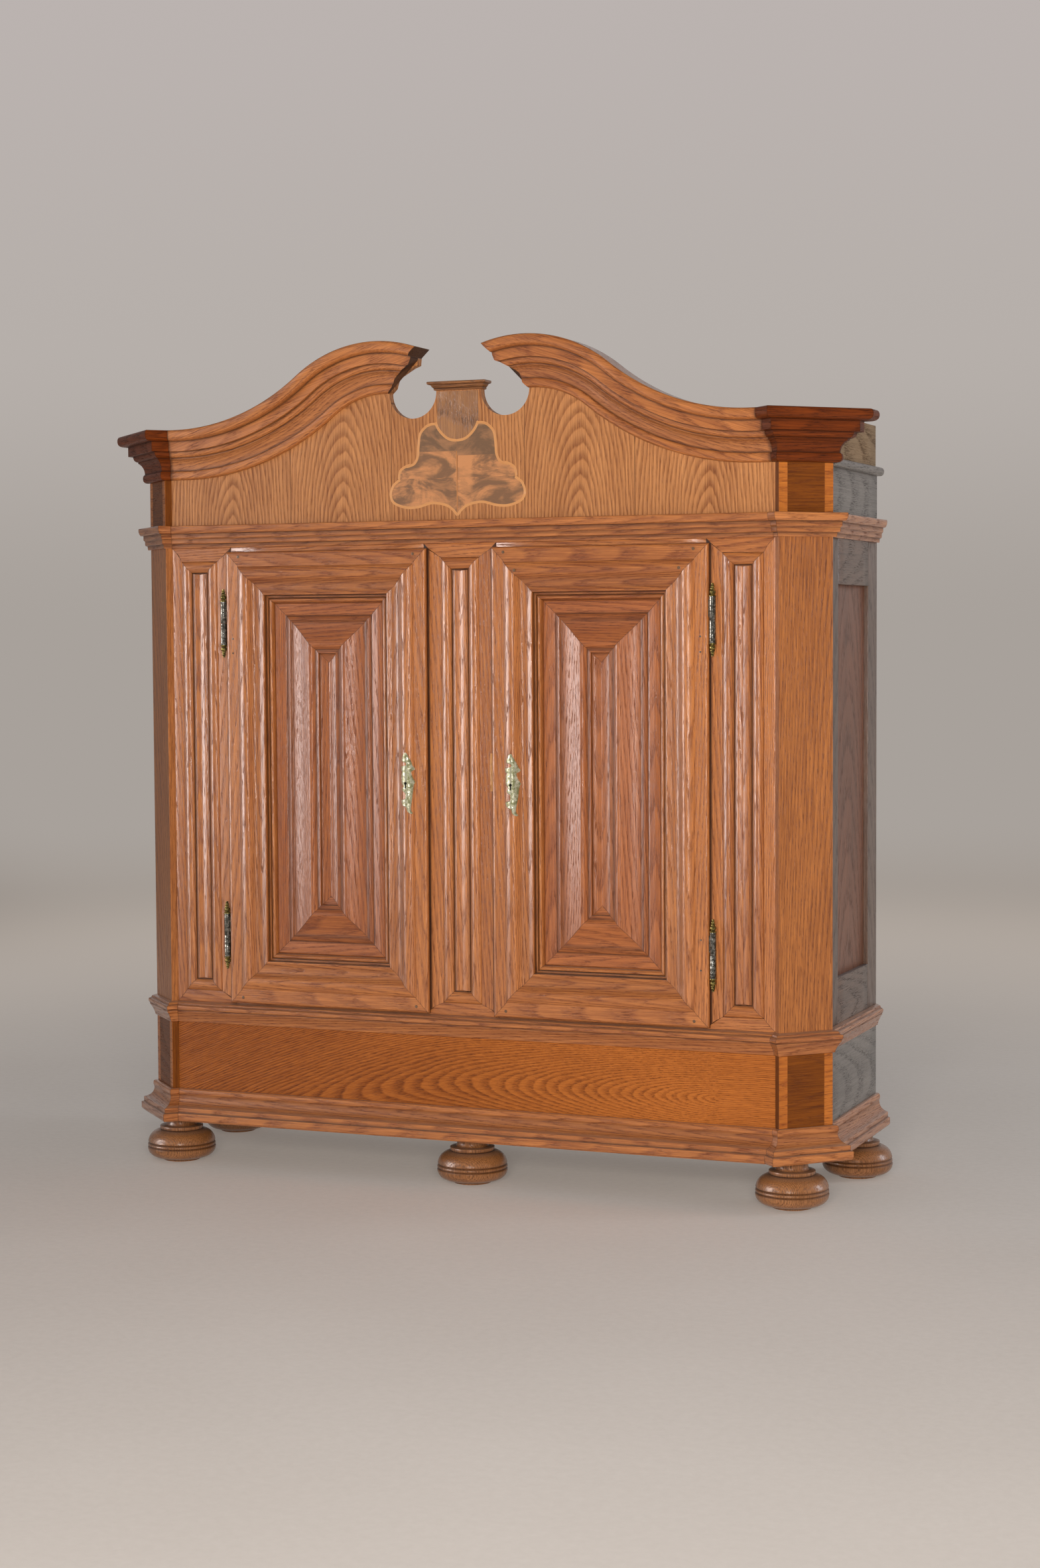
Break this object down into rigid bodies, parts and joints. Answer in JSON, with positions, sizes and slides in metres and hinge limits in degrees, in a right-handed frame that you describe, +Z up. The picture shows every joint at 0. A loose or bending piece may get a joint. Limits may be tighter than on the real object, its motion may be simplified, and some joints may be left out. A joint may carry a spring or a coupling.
{
  "type": "kas cupboard",
  "caption": "Baroque oak cupboard on ball feet with moulded doors, cut corners, lisenes and a broken swan-neck pediment.",
  "frame": {"origin": "on the floor, in the middle of the cupboard's width and depth", "axes": "+X to the right of someone facing the doors, +Y from the front to the back, +Z up"},
  "size_m": [2.2234, 0.7208, 2.285],
  "materials": {
    "waxed_oak": "waxed and polished, satin, old surface",
    "dark_oak": "waxed and polished, darker red-brown",
    "oak_veneer": "figured veneer with crossbanding, waxed",
    "inner_oak": "raw sawn boards, matt",
    "dark_iron": "worn, dark, with brass-coloured finials",
    "old_brass": "tarnished, pale green-grey"
  },
  "bodies": {
    "case": {"base_board_front": "waxed_oak", "base_board_right": "waxed_oak", "base_board_left": "waxed_oak", "base_moulding_upper": "waxed_oak", "sill_rail": "waxed_oak", "head_rail": "waxed_oak", "corner_post_right": "waxed_oak", "corner_post_left": "waxed_oak", "side_frame_right": "waxed_oak", "side_frame_left": "waxed_oak", "side_panel_right": "waxed_oak", "side_panel_left": "waxed_oak", "lisene_right": "waxed_oak", "lisene_left": "waxed_oak", "lisene_middle": "waxed_oak", "architrave": "waxed_oak", "frieze_side_right": "waxed_oak", "frieze_side_left": "waxed_oak", "neck_cornice_right": "waxed_oak", "neck_cornice_left": "waxed_oak", "foot_front_left": "dark_oak", "foot_front_middle": "dark_oak", "foot_front_right": "dark_oak", "foot_rear_left": "dark_oak", "foot_rear_right": "dark_oak", "base_moulding_lower": "dark_oak", "corner_cornice_right": "dark_oak", "corner_cornice_left": "dark_oak", "pediment_cap": "dark_oak", "base_corner_right": "oak_veneer", "base_corner_left": "oak_veneer", "frieze_corner_right": "oak_veneer", "frieze_corner_left": "oak_veneer", "tympanum": "oak_veneer", "base_bottom": "inner_oak", "case_floor": "inner_oak", "case_top": "inner_oak", "shelf_lower": "inner_oak", "shelf_upper": "inner_oak", "back_panel": "inner_oak", "hinge_pin_right_upper": "dark_iron", "hinge_pin_left_upper": "dark_iron", "hinge_pin_right_lower": "dark_iron", "hinge_pin_left_lower": "dark_iron"},
    "door_left": {"door_frame_left": "waxed_oak", "door_bolection_left": "waxed_oak", "door_panel_left": "waxed_oak", "hinge_barrel_left_upper": "dark_iron", "hinge_barrel_left_lower": "dark_iron", "lock_case_left": "dark_iron", "escutcheon_left": "old_brass"},
    "door_right": {"door_frame_right": "waxed_oak", "door_bolection_right": "waxed_oak", "door_panel_right": "waxed_oak", "hinge_barrel_right_upper": "dark_iron", "hinge_barrel_right_lower": "dark_iron", "lock_case_right": "dark_iron", "escutcheon_right": "old_brass"},
    "bolt_left": {"lock_bolt_left": "dark_iron"},
    "bolt_right": {"lock_bolt_right": "dark_iron"}
  },
  "joints": [
    {"name": "door_left_swing", "type": "hinge", "parent": "case", "child": "door_left", "pos_m": [-0.7145, -0.25064, 1.096], "axis": [0, 0, -1], "range_deg": [0, 110]},
    {"name": "door_right_swing", "type": "hinge", "parent": "case", "child": "door_right", "pos_m": [0.7145, -0.25064, 1.096], "axis": [0, 0, 1], "range_deg": [0, 110]},
    {"name": "bolt_left_throw", "type": "slide", "parent": "door_left", "child": "bolt_left", "axis": [1, 0, 0], "range_m": [0, 0.022]},
    {"name": "bolt_right_throw", "type": "slide", "parent": "door_right", "child": "bolt_right", "axis": [-1, 0, 0], "range_m": [0, 0.022]}
  ]
}
